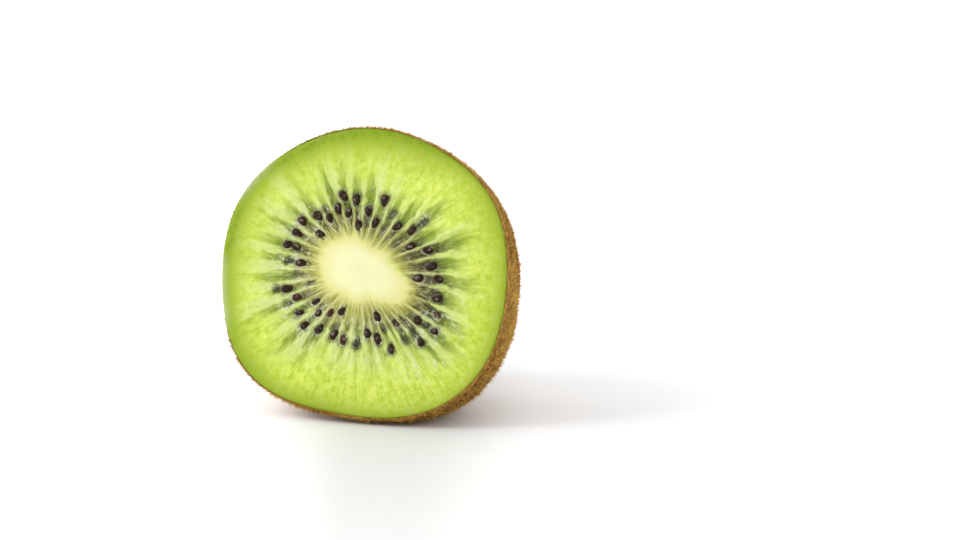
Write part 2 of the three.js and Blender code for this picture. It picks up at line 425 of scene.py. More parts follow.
def chamber_marks(turn, share, radius):
    """Masks of the seed chambers, dark near the core and green further out, and of the rays between them."""
    lower, to_lower, to_upper = chamber_walls(turn, share)
    lane = 2 * math.pi * radius / CHAMBERS
    from_wall = np.minimum(to_lower, to_upper)
    wall = np.where(to_lower < to_upper, lower, lower + 1)
    full, faint = facing(turn, FULL_SIDE, 0.45, 1), facing(turn, FAINT_SIDE, 0.6, 1)
    breadth = (0.05 + 0.3 * share) * per_chamber(wall, 0.7, 1.3, 13) * (1 - 0.4 * full + 0.25 * faint)
    ragged = (0.4 + 0.5 * share) * (round_noise(turn, share, 46, 16, 22) - 0.5)
    hollow = smoothstep((from_wall - breadth) * lane + 1.3 * ragged, -0.3, 0.5)

    cloud = round_noise(turn, share, 34, 12, 23)
    stretch = 1 + 0.15 * full - 0.15 * faint - 0.12 * facing(turn, 55, 0.7, 1)
    reach = share / (per_chamber(lower, 0.53, 0.82, 21) * stretch) + 0.3 * (cloud - 0.5)
    darkness = per_chamber(lower, 0.7, 1.1, 24) * (0.5 + 0.85 * cloud) * (1 + 0.6 * full - 0.35 * faint)
    start = 0.06 + 0.06 * facing(turn, -45, 0.8, 1) + 0.06 * facing(turn, -105, 0.8, 1)
    jelly = hollow * darkness * smoothstep(share, start, start + 0.1) * (1 - smoothstep(reach, 0.36, 0.82))
    green = per_chamber(lower, 0.75, 1.2, 25) * (0.5 + 0.8 * cloud) * (1 + 0.2 * full - 0.3 * faint)
    veiled = np.maximum(hollow, 0.22 * smoothstep(share, 0.1, 0.3))
    tail = veiled * green * smoothstep(share, 0.03, 0.12) * (1 - smoothstep(reach, 0.7, 1.2))
    ray_end = per_chamber(wall, 0.6, 1.05, 12)
    ray = (1 - hollow) * window(share, 0.0, 0.08, ray_end - 0.4, ray_end) * per_chamber(wall, 0.5, 1, 11)
    line = np.exp(-(from_wall * lane / 0.16) ** 2) * window(share, 0.0, 0.05, 0.2, 0.5)
    return {"tail": tail, "jelly": jelly, "pale": ray, "wall": line * per_chamber(wall, 0.3, 1, 14)}, hollow


def rim_marks(turn, share, from_skin, direction):
    """Masks of the deep green next to the skin, with painted shade in it, and of the painted sheen at the
    left.
    """
    # Painted shade as well as the deep green: the band reaches further and is stronger towards the top and
    # the lower left, and weaker to the lower right. The flesh darkens towards the upper left.
    rim_reach = 7 + 2 * np.cos(turn - math.radians(105)) + 2 * (ring_noise(turn, 5, 52) - 0.5)
    strength = 0.7 + 0.5 * facing(turn, 108, 0.4) + 0.38 * facing(turn, -150, 0.5, 1)
    strength = strength - 0.24 * facing(turn, -44, 0.85, 1)
    rim = np.clip(1 - from_skin / rim_reach, 0, 1) ** 1.6 * strength
    rim = rim + 0.1 * facing(turn, 140, 0, 1) * smoothstep(share, 0.2, 0.6)
    # The painted sheen: a pale reflection painted on two stretches of the left edge.
    painted_sheen = sum(window(direction, *part) for part in SHEEN_PARTS)
    dusk = window(direction, *DUSK_PART)
    # A darker line along the very edge, most of all between the two stretches of sheen.
    edge = 0.2 * (1 - painted_sheen) * np.exp(-from_skin / 0.8) + 0.5 * dusk * np.exp(-from_skin / 1.6)
    return {
        "rim": np.clip(rim + edge, 0, 1),
        "painted_sheen": 0.72 * painted_sheen * np.clip(1 - from_skin / 2.1, 0, 1) ** 1.3,
    }


def seed_marks(points, jelly, sizes):
    """Painted highlights and masks round the seeds and of those that lie below the cut, and how far the flesh
    is banked up.
    """
    painted_highlight, sunk, bank = np.zeros_like(jelly), np.zeros_like(jelly), np.zeros_like(jelly)
    places = seed_places(SEED_DRAW)
    for order, place in enumerate(places):
        reach, direction = seed_reach(points, place, sizes)
        # A painted highlight: a pale crescent round each seed, strongest on its lower side.
        side = 0.5 + 0.5 * np.cos(direction + math.radians(100) + (order % 5 - 2) * 0.5)
        highlight_share = 0.3 + 0.7 * (order % 3 == 0)
        painted_highlight = np.maximum(painted_highlight, highlight_share * np.exp(-((reach - 1.15) / 0.13) ** 2) * side ** 2)
        bank = np.maximum(bank, soft_edge(reach, 0.9, 0.3))
        jelly = np.maximum(jelly, 0.92 * soft_edge(reach, 0.85, 0.6))
    for order, place in enumerate(seed_places(SUNK_SEED_DRAW)):
        if min(np.linalg.norm(surface(*place[:2]) - surface(*other[:2])) for other in places) > 1.5:
            reach = seed_reach(points, place, sizes)[0]
            sunk = np.maximum(sunk, (1 - smoothstep(reach, 0.55, 1.2)) * (0.6 + 0.13 * (order % 4)))
            jelly = np.maximum(jelly, 0.7 * soft_edge(reach, 1, 0.4))
    return {"painted_highlight": painted_highlight, "sunk": sunk, "jelly": jelly}, bank


def face_marks(station, turn, sizes):
    """Masks and fine relief of the cut face, worked out at each point of its mesh."""
    points = surface(station, turn)
    x, y = points[..., 0], points[..., 1]
    share = np.clip(station - FLESH, 0, 1)
    flesh_width = FACE_RADIUS - RIM_WIDTH - CORE_RADIUS
    in_flesh = smoothstep(station, 0.99, 1.01)
    marks, hollow = chamber_marks(turn, share, np.hypot(x, y))

    past_core = np.where(station < FLESH, (station - FLESH) * CORE_RADIUS, share * flesh_width)
    fringe = 1.5 * (ring_noise(turn, 14, 41) - 0.5) + 0.9 * (ring_noise(turn, 40, 42) - 0.5)
    marks["core"] = 1 - smoothstep(past_core + fringe, -0.9, 1.5)
    marks["heart"] = 1 - smoothstep(past_core, -3.2, 0.6)
    marks["olive"] = smoothstep(past_core, -0.8, 0.6) * (1 - smoothstep(share, 0.08, 0.37))
    thread = smoothstep(past_core, -1.2, 0.2) * (1 - smoothstep(share, 0.1, 0.34))
    marks["thread"] = thread * (1 - 0.5 * facing(turn, 45, 0.3, 1))
    marks["haze"] = window(share, 0.15, 0.4, 0.5, 0.95)
    from_skin = (1 - share) * flesh_width + 1.2 * RIM_WIDTH * (1 - np.clip(station - RIM, 0, 1))
    direction = np.degrees(np.mod(np.arctan2(y, x), 2 * math.pi))
    marks.update(rim_marks(turn, share, from_skin, direction))
    around_seeds, bank = seed_marks(points, marks["jelly"], sizes)
    marks.update(around_seeds)

    # Painted highlights on the wet jelly, more of them lower down and towards the lower right.
    drawn_out = round_noise(turn, share, 44, 14, 61)
    patchy = noise(x / 2.2, y / 2.2, 0 * x, 62)
    low_side = 0.08 * np.sin(turn + math.radians(20))
    low_right = 0.25 * facing(turn, -35, 0.6, 1)
    glint = smoothstep(0.5 * drawn_out + 0.5 * patchy - low_side, 0.4, 0.66) * smoothstep(share, 0.08, 0.16)
    marks["glint"] = glint * (1 - smoothstep(share - low_right, 0.46, 0.68))
    # A painted sheen: a pale reflection painted along the rays, most at the left and the lower right.
    sheen_share = 0.25 + 0.75 * np.clip(facing(turn, 180, 0.6, 1) + facing(turn, -55, 0.4, 1), 0, 1)
    sheen_share = sheen_share * smoothstep(0.6 * drawn_out + 0.4 * patchy, 0.35, 0.65)
    marks["ray_sheen"] = sheen_share * (1 - hollow) * window(share, 0.12, 0.24, 0.4, 0.72)

    sink = np.clip((share - CHAMBER_START) / (CHAMBER_END - CHAMBER_START), 0, 1)
    depth = CHAMBER_DEPTH * np.sin(math.pi * sink) ** CHAMBER_BLUNTNESS * (0.35 + 0.65 * hollow)
    wet = noise(x / 0.5, y / 0.5, 0 * x, 71) - 0.5
    grain = noise(x / 0.8, y / 0.8, 0 * x, 72) - 0.5
    outer = smoothstep(share, 0.3, 0.6) * (1 - smoothstep(station, RIM, RIM + 0.5))
    relief = 0.16 * bank + 0.3 * wet * np.clip(marks["jelly"] + marks["glint"], 0, 1) + 0.06 * grain * outer
    relief = relief - depth * in_flesh
    for name in ("pale", "tail", "jelly", "wall", "glint", "ray_sheen"):
        marks[name] = np.clip(marks[name], 0, 1) * in_flesh
    return marks, relief


# ---- Building meshes. ----


def standing(points):
    """Points from the frame of the cut face to the row's frame, in metres, where the fruit rests on z = 0."""
    lean = math.radians(LEAN)
    sin, cos = math.sin(lean), math.cos(lean)

    def upright(p):
        x, y, z = p[..., 0], p[..., 1], p[..., 2]
        return np.stack([x, y * sin - z * cos, y * cos + z * sin], axis=-1)

    station, turn = np.meshgrid(np.linspace(RIM, END, 200), np.linspace(-math.pi, math.pi, 360))
    outside = upright(surface(station, turn)).reshape(-1, 3)
    low, high = outside.min(0), outside.max(0)
    middle = (np.array(HALF_LOW) + np.array(HALF_HIGH)) / 2
    shift = middle / MM - (low + high) / 2
    shift[2] = HALF_LOW[2] / MM - (low[2] + REST_DEPTH)
    return (upright(points) + shift) * MM


def add_mesh(name, points, faces, smooth=True):
    mesh = bpy.data.meshes.new(name)
    mesh.from_pydata([tuple(p) for p in points], [], faces)
    mesh.polygons.foreach_set("use_smooth", [smooth] * len(mesh.polygons))
    mesh.validate()
    mesh.update()
    piece = bpy.data.objects.new(name, mesh)
    bpy.context.scene.collection.objects.link(piece)
    return piece


def add_mark(piece, name, values):
    """A number at each point of a piece, for its material to read."""
    mark = piece.data.attributes.new(name, "FLOAT", "POINT")
    mark.data.foreach_set("value", np.asarray(values, np.float32).ravel())


def add_ray_coordinates(piece, station, turn):
    """Coordinates that run round the fruit and slowly outwards, for grain drawn out along the rays."""
    rays = piece.data.attributes.new("ray", "FLOAT_VECTOR", "POINT")
    values = np.stack([np.cos(turn), np.sin(turn), 0.22 * station], axis=-1)
    rays.data.foreach_set("vector", values.astype(np.float32).ravel())


def finish_piece(piece, replaces=None):
    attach(piece, "root")
    if replaces:
        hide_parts(replaces)


def ring_faces(first, second, count):
    """Quads between two rings of points, given by the number of their first point."""
    return [(first + i, second + i, second + (i + 1) % count, first + (i + 1) % count) for i in range(count)]


def disc_grid(rings):
    """A round grid of even squares: each point's ring and turn, the quads, and the outer points in order."""
    line = np.arange(-rings, rings + 1)
    i, j = np.meshgrid(line, line, indexing="ij")
    ring = np.maximum(np.abs(i), np.abs(j))
    safe = np.maximum(ring, 1)
    right = (i == ring) & (j > -ring)
    top = (j == ring) & (i < ring)
    left = (i == -ring) & (j < ring)
    eighth = np.select([right, top, left], [j / safe, 2 - i / safe, 4 - j / safe], 6 + i / safe)
    turn = np.where(ring == 0, 0, eighth * math.pi / 4)
    side = 2 * rings + 1
    number = np.arange(side * side).reshape(side, side)
    corners = (number[:-1, :-1], number[1:, :-1], number[1:, 1:], number[:-1, 1:])
    quads = np.stack([c.ravel() for c in corners], axis=-1)
    edge = number[ring == rings]
    order = np.argsort(np.mod(turn[ring == rings], 2 * math.pi))
    return ring.ravel(), turn.ravel(), quads, edge[order]


# ---- Materials. ----


def add_node(tree, kind, inputs=None, **settings):
    """A node with its settings, and its inputs either linked to a socket or set to a value."""
    made = tree.nodes.new(kind)
    for name, value in settings.items():
        setattr(made, name, value)
    for key, value in (inputs or {}).items():
        if isinstance(value, bpy.types.NodeSocket):
            tree.links.new(value, made.inputs[key])
        else:
            made.inputs[key].default_value = value
    return made


def mark_value(tree, name):
    return add_node(tree, "ShaderNodeAttribute", attribute_name=name).outputs["Fac"]


def blend(tree, share, below, above):
    """A colour that goes from below to above as share goes from 0 to 1."""
    made = add_node(tree, "ShaderNodeMix", {0: share}, data_type="RGBA")
    for socket, value in ((made.inputs[6], below), (made.inputs[7], above)):
        if isinstance(value, bpy.types.NodeSocket):
            tree.links.new(value, socket)
        else:
            socket.default_value = (*value, 1)
    return made.outputs[2]


def scaled(tree, value, low, high, to_low=0.0, to_high=1.0, kind="LINEAR"):
    return add_node(tree, "ShaderNodeMapRange", {
        "Value": value, "From Min": low, "From Max": high, "To Min": to_low, "To Max": to_high,
    }, interpolation_type=kind).outputs["Result"]


def math_node(tree, operation, first, second=0.0):
    return add_node(tree, "ShaderNodeMath", {0: first, 1: second}, operation=operation).outputs[0]


def mix_node(tree, share, first, second):
    return add_node(tree, "ShaderNodeMix", {0: share, 2: first, 3: second}).outputs[0]


def noise_node(tree, vector, scale, detail):
    made = add_node(tree, "ShaderNodeTexNoise", {"Vector": vector, "Scale": scale, "Detail": detail})
    return made.outputs["Fac"]


GRAIN_INPUTS = ("Coarse scale", "Fine scale", "Fine share", "Contrast")


def grain_group():
    """Two sizes of natural grain, as a value from 0 to 1 round 0.5."""
    if "Natural grain" in bpy.data.node_groups:
        return bpy.data.node_groups["Natural grain"]
    tree = bpy.data.node_groups.new("Natural grain", "ShaderNodeTree")
    tree.interface.new_socket("Vector", in_out="INPUT", socket_type="NodeSocketVector")
    for name in GRAIN_INPUTS:
        tree.interface.new_socket(name, in_out="INPUT", socket_type="NodeSocketFloat")
    tree.interface.new_socket("Grain", in_out="OUTPUT", socket_type="NodeSocketFloat")
    given = tree.nodes.new("NodeGroupInput").outputs
    coarse = noise_node(tree, given["Vector"], given["Coarse scale"], 2.0)
    fine = noise_node(tree, given["Vector"], given["Fine scale"], 3.0)
    centred = math_node(tree, "SUBTRACT", mix_node(tree, given["Fine share"], coarse, fine), 0.5)
    strong = math_node(tree, "MULTIPLY", centred, given["Contrast"])
    add_node(tree, "NodeGroupOutput", {"Grain": math_node(tree, "ADD", strong, 0.5)})
    return tree


def add_grain(tree, vector, coarse, fine, fine_share=0.5, contrast=3.0):
    made = add_node(tree, "ShaderNodeGroup", node_tree=grain_group())
    tree.links.new(vector, made.inputs["Vector"])
    for name, value in zip(GRAIN_INPUTS, (coarse, fine, fine_share, contrast)):
        made.inputs[name].default_value = value
    return made.outputs["Grain"]


def new_material(name):
    """A material with an empty tree, its Principled shader and its Object coordinates."""
    material = bpy.data.materials.new(name)
    material.use_nodes = True
    tree = material.node_tree
    tree.nodes.clear()
    shader = add_node(tree, "ShaderNodeBsdfPrincipled")
    add_node(tree, "ShaderNodeOutputMaterial", {"Surface": shader.outputs["BSDF"]})
    place = add_node(tree, "ShaderNodeTexCoord").outputs["Object"]
    return material, tree, shader, place


def set_inputs(tree, shader, **values):
    for name, value in values.items():
        socket = shader.inputs[name.replace("_", " ")]
        if isinstance(value, bpy.types.NodeSocket):
            tree.links.new(value, socket)
        else:
            socket.default_value = value


def bump_node(tree, height, strength, distance):
    made = add_node(tree, "ShaderNodeBump", {"Strength": strength, "Distance": distance, "Height": height})
    return made.outputs["Normal"]


def flesh_material(colours):
    """Moist green flesh: each zone of the face has its mask, and its colour lies over the one before."""
    material, tree, shader, place = new_material("kiwi flesh")
    cells = add_grain(tree, place, 850, 2500, 0.42, 4.0)
    ray = add_node(tree, "ShaderNodeAttribute", attribute_name="ray").outputs["Vector"]
    streaks = add_grain(tree, ray, 16, 38, 0.5, 3.8)
    mottle = mix_node(tree, 0.45, cells, streaks)
    green = blend(tree, scaled(tree, mottle, 0.1, 0.5), colours.flesh_deep, colours.flesh)
    green = blend(tree, scaled(tree, mottle, 0.5, 0.9), green, colours.flesh_pale)
    worn = scaled(tree, mottle, 0.1, 0.9, 0.8, 1.15)
    off_line = math_node(tree, "ABSOLUTE", math_node(tree, "SUBTRACT", noise_node(tree, ray, 30.0, 1.0), 0.5))
    fibres = scaled(tree, off_line, 0.0, 0.09, 1.0, 0.0)
    streaked = scaled(tree, streaks, 0.1, 0.75, 1.15, 0.65)
    fine = add_grain(tree, ray, 44, 80, 0.5, 3.0)
    drops = add_grain(tree, place, 1000, 2400, 0.5, 3.0)
    wet = mix_node(tree, 0.5, fine, drops)
    bright, dark = scaled(tree, wet, 0.53, 0.74), scaled(tree, wet, 0.48, 0.3)
    # Each layer: its mask, its colour, its strength, and the grain that breaks it up.
    layers = (
        # The rim's mask holds painted shade as well as the deep green next to the skin.
        ("rim", colours.rim, 0.95, None), ("haze", colours.pale, 0.2, None),
        ("pale", colours.pale, 0.9, None), ("tail", colours.tail, 0.95, streaked),
        ("olive", colours.olive, 0.85, None), ("jelly", colours.jelly, 0.95, None),
        ("jelly", colours.jelly_dark, 0.8, dark), ("sunk", colours.sunk, 0.9, None),
        ("ray_sheen", colours.painted_highlight, 0.28, None), ("wall", colours.wall, 0.7, None),
        ("thread", colours.thread, 0.75, fibres), ("painted_highlight", colours.painted_highlight, 0.6, None),
        ("glint", colours.painted_highlight, 0.7, bright), ("painted_sheen", colours.painted_sheen, 0.9, None),
    )
    for name, paint, strength, grain in layers:
        mark = mark_value(tree, name)
        if grain is not None:
            mark = math_node(tree, "MULTIPLY", mark, grain)
        share = math_node(tree, "MULTIPLY", mark, strength)
        green = blend(tree, math_node(tree, "MULTIPLY", share, worn), green, paint)
    pith = blend(tree, mark_value(tree, "heart"), colours.core_edge, colours.core)
    green = blend(tree, mark_value(tree, "core"), green, pith)
    wetness = mark_value(tree, "jelly")
    set_inputs(
        tree, shader, Base_Color=green, Normal=bump_node(tree, mottle, 0.5, 0.0001),
        Roughness=scaled(tree, wetness, 0.0, 0.6, 0.5, 0.25),
        Coat_Weight=scaled(tree, wetness, 0.0, 0.6, 0.0, 0.3),
        Coat_Roughness=0.15, IOR=1.36, Specular_IOR_Level=0.4, Subsurface_Weight=0.3,
        Subsurface_Radius=(1.0, 1.2, 0.3), Subsurface_Scale=0.0008,
    )
    return material


def skin_material(colours):
    """Dull brown skin with darker patches and pores under the hairs, and a dark woody disc at the end."""
    material, tree, shader, place = new_material("kiwi skin")
    patches = add_grain(tree, place, 220, 1000, 0.5, 4.5)
    brown = blend(tree, scaled(tree, patches, 0.2, 0.8), colours.skin_dark, colours.skin)
    pores = add_node(tree, "ShaderNodeTexVoronoi", {"Vector": place, "Scale": 900.0}).outputs["Distance"]
    brown = blend(tree, scaled(tree, pores, 0.22, 0.05, 0.0, 0.5), brown, colours.skin_dark)
    wood = add_grain(tree, place, 700, 2400, 0.5, 3.5)
    nub = math_node(tree, "MULTIPLY", mark_value(tree, "nub"), scaled(tree, wood, 0.0, 1.0, 0.7, 1.0))
    cracked = blend(tree, scaled(tree, wood, 0.45, 0.8, 0.0, 0.7), colours.nub, colours.seed)
    brown = blend(tree, nub, brown, cracked)
    brown = blend(tree, mark_value(tree, "golden"), brown, colours.golden)
    set_inputs(tree, shader, Base_Color=brown, Normal=bump_node(tree, patches, 0.7, 0.0002),
               Roughness=0.78, Specular_IOR_Level=0.2)
    return material


def hair_material(colours):
    """Stiff golden brown hairs, each with its own shade, dark at the root and pale at the tip, where the
    paleness is painted light for light shining through the hair.
    """
    material, tree, shader, place = new_material("kiwi hair")
    tone = blend(tree, scaled(tree, mark_value(tree, "shade"), 0.05, 0.8), colours.hair_dark, colours.hair)
    clumps = add_grain(tree, place, 260, 1100, 0.4, 2.5)
    tone = blend(tree, scaled(tree, clumps, 0.35, 0.9, 0.0, 0.5), tone, colours.hair_dark)
    # Painted light: the tips are paler, as if light shone through them.
    tone = blend(tree, scaled(tree, mark_value(tree, "tip"), 0.0, 1.0, 0.0, 0.75), tone, colours.tip_glow)
    set_inputs(tree, shader, Base_Color=tone, Roughness=0.6, Specular_IOR_Level=0.15)
    return material


def seed_material(colours):
    """Glossy, nearly black seeds with a painted highlight on their tops. A few are still reddish."""
    material, tree, shader, place = new_material("kiwi seed")
    grain = add_grain(tree, place, 1300, 2800, 0.4, 3.0)
    red = scaled(tree, mark_value(tree, "red"), 0.0, 1.0, 0.0, 0.55)
    dark = blend(tree, red, colours.seed, colours.seed_red)
    # A painted highlight: pale streaks on the top of each seed.
    highlight = math_node(tree, "MULTIPLY", mark_value(tree, "crown"), scaled(tree, grain, 0.56, 0.78, 0.0, 0.9))
    dark = blend(tree, highlight, dark, colours.seed_highlight)
    set_inputs(tree, shader, Base_Color=dark, Normal=bump_node(tree, grain, 0.3, 0.00005),
               Roughness=0.3, IOR=1.45, Coat_Weight=0.2, Coat_Roughness=0.05, Specular_IOR_Level=0.08)
    return material


# ---- Geometry Nodes. ----


def new_geometry_tree(name, sockets):
    """A Geometry Nodes tree with a Geometry input and output and the named inputs."""
    tree = bpy.data.node_groups.new(name, "GeometryNodeTree")
    tree.interface.new_socket("Geometry", in_out="INPUT", socket_type="NodeSocketGeometry")
    for label, kind in sockets:
        tree.interface.new_socket(label, in_out="INPUT", socket_type="NodeSocket" + kind)
    tree.interface.new_socket("Geometry", in_out="OUTPUT", socket_type="NodeSocketGeometry")
    return tree, tree.nodes.new("NodeGroupInput").outputs


def named(tree, name, kind="FLOAT"):
    made = add_node(tree, "GeometryNodeInputNamedAttribute", {"Name": name}, data_type=kind)
    return made.outputs["Attribute"]


def finish_tree(tree, instances, material):
    """Every tree ends in real mesh with its material."""
    real = add_node(tree, "GeometryNodeRealizeInstances", {"Geometry": instances})
    coloured = add_node(tree, "GeometryNodeSetMaterial", {
        "Geometry": real.outputs["Geometry"], "Material": material,
    })
    add_node(tree, "NodeGroupOutput", {"Geometry": coloured.outputs["Geometry"]})


def grow(carrier, name, tree, values):
    """Runs a tree on a carrier and returns what it makes as a plain piece. The carrier is left as it was."""
    modifier = carrier.modifiers.new(name, "NODES")
    modifier.node_group = tree
    for item in tree.interface.items_tree:
        if item.in_out == "INPUT" and item.name in values:
            modifier[item.identifier] = values[item.name]
    carrier.update_tag()
    bpy.context.view_layer.update()
    mesh = bpy.data.meshes.new_from_object(carrier.evaluated_get(bpy.context.evaluated_depsgraph_get()))
    carrier.modifiers.remove(modifier)
    mesh.name = name
    piece = bpy.data.objects.new(name, mesh)
    bpy.context.scene.collection.objects.link(piece)
    return piece


def seed_tree():
    """A seed at each point, turned and sized by the point's own numbers."""
    tree, given = new_geometry_tree("Seeds on points", (("Seed", "Object"), ("Material", "Material")))
    seed = add_node(tree, "GeometryNodeObjectInfo", {"Object": given["Seed"]}).outputs["Geometry"]
    turned = add_node(tree, "FunctionNodeEulerToRotation", {"Euler": named(tree, "turned", "FLOAT_VECTOR")})
    placed = add_node(tree, "GeometryNodeInstanceOnPoints", {
        "Points": given["Geometry"], "Instance": seed, "Rotation": turned.outputs["Rotation"],
        "Scale": named(tree, "size"),
    })
    finish_tree(tree, placed.outputs["Instances"], given["Material"])
    return tree


def hair_tree():
    """Hairs spread over a surface, each leaning its own way, thinner in number where the surface says so."""
    tree, given = new_geometry_tree("Hairs on skin", (
        ("Hair", "Object"), ("Density", "Float"), ("Length", "Float"), ("Least lean", "Float"),
        ("Most lean", "Float"), ("Draw", "Int"), ("Material", "Material"),
    ))
    hair = add_node(tree, "GeometryNodeObjectInfo", {"Object": given["Hair"]}).outputs["Geometry"]
    spread = add_node(tree, "GeometryNodeDistributePointsOnFaces", {
        "Mesh": given["Geometry"], "Seed": given["Draw"],
        "Density": math_node(tree, "MULTIPLY", given["Density"], named(tree, "hairiness")),
    })

    def chance(low, high, draw):
        """A random number for each hair. The draws differ between the uses."""
        number = math_node(tree, "ADD", given["Draw"], draw)
        made = add_node(tree, "FunctionNodeRandomValue", {"Min": low, "Max": high, "Seed": number})
        return made.outputs["Value"]

    place = add_node(tree, "GeometryNodeInputPosition").outputs["Position"]
    swirl = math_node(tree, "MULTIPLY", noise_node(tree, place, 110.0, 1.0), 7.0)
    around = math_node(tree, "ADD", swirl, chance(-0.6, 0.6, 1))
    lean = chance(given["Least lean"], given["Most lean"], 2)
    turned = spread.outputs["Rotation"]
    for axis, angle in (("Z", around), ("X", lean)):
        euler = add_node(tree, "ShaderNodeCombineXYZ", {axis: angle}).outputs["Vector"]
        local = add_node(tree, "FunctionNodeEulerToRotation", {"Euler": euler}).outputs["Rotation"]
        made = add_node(tree, "FunctionNodeRotateRotation", {"Rotation": turned, "Rotate By": local},
                        rotation_space="LOCAL")
        turned = made.outputs["Rotation"]
    long = math_node(tree, "MULTIPLY", given["Length"], chance(0.55, 1.0, 3))
    long = math_node(tree, "MULTIPLY", long, named(tree, "hair_length"))
    size = add_node(tree, "ShaderNodeCombineXYZ", {"X": 1.0, "Y": 1.0, "Z": long}).outputs["Vector"]
    placed = add_node(tree, "GeometryNodeInstanceOnPoints", {
        "Points": spread.outputs["Points"], "Instance": hair, "Rotation": turned, "Scale": size,
    })
    shaded = add_node(tree, "GeometryNodeStoreNamedAttribute", {
        "Geometry": placed.outputs["Instances"], "Name": "shade", "Value": chance(0.0, 1.0, 4),
    }, data_type="FLOAT", domain="INSTANCE")
    finish_tree(tree, shaded.outputs["Geometry"], given["Material"])
    return tree


# ---- The pieces. ----


def make_flesh(sizes, colours):
    """The cut face with its relief of chambers and rays, closed at the back by a plain dome in the skin."""
    inset = sizes.skin_thickness / MM + SKIN_GAP
    rings = sizes.face_rings
    ring, turn, quads, edge = disc_grid(rings)
    full_reach = FACE_RADIUS + 0.3
    reach = ring / rings * full_reach
    shoulder = FACE_RADIUS - RIM_WIDTH
    station = np.where(
        reach < CORE_RADIUS, reach / CORE_RADIUS,
        np.where(reach < shoulder, FLESH + (reach - CORE_RADIUS) / (shoulder - CORE_RADIUS),
                 RIM + (reach - shoulder) / (full_reach - shoulder)),
    )
    station = np.minimum(station, SKIN - 1e-6)
    points = surface(station, turn, inset)
    marks, relief = face_marks(station, turn, sizes)
    points[:, 2] += relief
    worn = RIM_WEAR * ring_noise(turn, 40, 101) * smoothstep(station, RIM + 0.3, RIM + 1)
    worn = worn * facing(turn, WORN_SIDE, 0.4, 0.85)
    points[:, :2] *= (1 - worn / FACE_RADIUS)[:, None]
    faces = [tuple(int(k) for k in quad) for quad in quads]

    back_stations = [SKIN + share for share in (0.12, 0.3, 0.5, 0.7, 0.88)]
    around = turn[edge]
    above = [int(k) for k in edge]
    all_points = [points]
    count = len(points)
    for at in back_stations:
        depth = inset + FLESH_BACK_DEPTH * smoothstep(at, SKIN + 0.3, SKIN + 0.8)
        all_points.append(surface(at, around, depth))
        below = list(range(count, count + len(edge)))
        faces += [(above[k], below[k], below[(k + 1) % len(edge)], above[(k + 1) % len(edge)])
                  for k in range(len(edge))]
        above, count = below, count + len(edge)
    all_points.append(surface(END, 0.0, inset + FLESH_BACK_DEPTH)[None])
    faces += [(above[k], count, above[(k + 1) % len(edge)]) for k in range(len(edge))]
    solid = standing(np.concatenate(all_points))
    solid[:, 2] = np.maximum(solid[:, 2], inset * MM)
    piece = add_mesh("flesh", solid, faces)
    extra = len(solid) - len(points)
    for name, values in marks.items():
        add_mark(piece, name, np.concatenate([values, np.zeros(extra)]))
    add_ray_coordinates(piece, np.concatenate([station, np.full(extra, float(SKIN))]),
                        np.concatenate([turn, np.zeros(extra)]))
    piece.data.materials.append(flesh_material(colours))
    finish_piece(piece, "kiwi_half")


